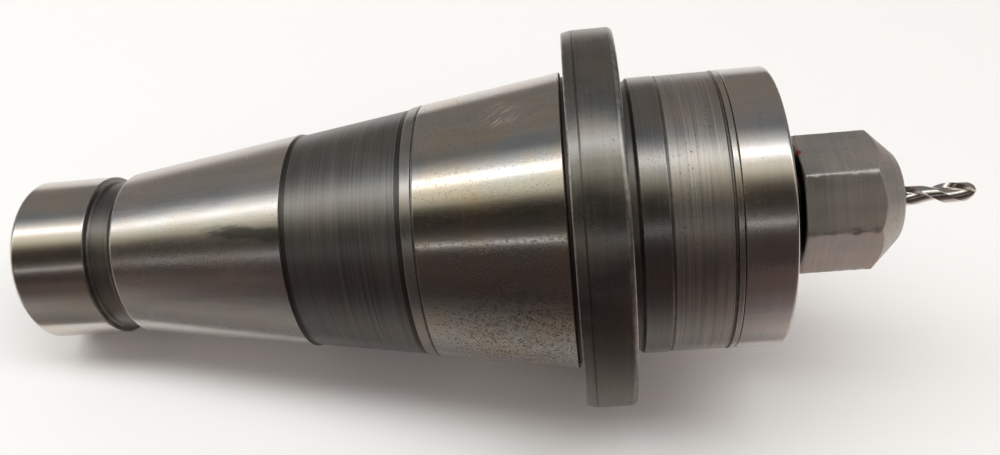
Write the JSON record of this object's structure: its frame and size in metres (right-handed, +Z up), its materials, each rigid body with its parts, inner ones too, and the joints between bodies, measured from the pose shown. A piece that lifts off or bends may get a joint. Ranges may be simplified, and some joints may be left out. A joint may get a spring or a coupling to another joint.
{
  "type": "collet chuck",
  "caption": "Milling collet chuck: steep-taper shank with pilot and round flange, cylindrical body, octagonal locking sleeve on a collet, and a ball-nosed end mill.",
  "frame": {"origin": "centre of the steep taper's gauge plane, on the spin axis", "axes": "+X along the spin axis towards the cutter, +Z up, one of the sleeve's flats faces +Z"},
  "size_m": [0.2272, 0.09, 0.09],
  "materials": {
    "ground_steel": "ground and polished tool steel, warm grey, with light pitting and wear",
    "turned_steel": "dark turned steel with fine circumferential marks and bright worn edges",
    "nose_steel": "ground steel, bright, lightly stained",
    "sleeve_steel": "satin brown-grey milled steel with bright nicked edges",
    "cutter_steel": "bright ground high-speed steel",
    "collet_steel": "ground spring steel",
    "spring_steel": "drawn spring steel",
    "inner_steel": "hardened steel",
    "screw_steel": "blackened alloy steel",
    "pad_brass": "turned brass"
  },
  "bodies": {
    "chuck": {"shank_body": "ground_steel", "flange_ring": "turned_steel", "nose_ring": "nose_steel", "drive_ring": "inner_steel", "ring_lock_screw": "screw_steel", "lock_pad": "pad_brass"},
    "collet_group": {"collet": "collet_steel", "extractor_ring": "spring_steel"},
    "sleeve": {"locking_sleeve": "sleeve_steel"},
    "cutter": {"end_mill": "cutter_steel"},
    "stop_carriage": {"stop_washer": "inner_steel"},
    "stop": {"stop_screw": "screw_steel"},
    "centre": {"locating_centre": "inner_steel", "centre_spring": "spring_steel"}
  },
  "joints": [
    {"name": "collet_advance", "type": "slide", "parent": "chuck", "child": "collet_group", "axis": [1, 0, 0], "range_m": [0, 0.0105]},
    {"name": "sleeve_turn", "type": "hinge", "parent": "collet_group", "child": "sleeve", "pos_m": [0.058, 0, 0], "axis": [1, 0, 0], "range_deg": [0, 2524]},
    {"name": "cutter_slide", "type": "slide", "parent": "collet_group", "child": "cutter", "axis": [1, 0, 0], "range_m": [0, 0.03]},
    {"name": "stop_advance", "type": "slide", "parent": "chuck", "child": "stop_carriage", "axis": [1, 0, 0], "range_m": [-0.008, 0]},
    {"name": "stop_turn", "type": "hinge", "parent": "stop_carriage", "child": "stop", "pos_m": [-0.009, 0, 0], "axis": [1, 0, 0], "range_deg": [-1444, 0]},
    {"name": "centre_spring_slide", "type": "slide", "parent": "stop_carriage", "child": "centre", "axis": [1, 0, 0], "range_m": [-0.002, 0], "stiffness_N_per_m": 600, "springref_m": 0.003, "deforming": ["centre_spring"]}
  ],
  "couplings": [
    {"joint": "sleeve_turn", "follows": "collet_advance", "rad_per_m": 4188.8},
    {"joint": "stop_turn", "follows": "stop_advance", "rad_per_m": 3141.6}
  ]
}
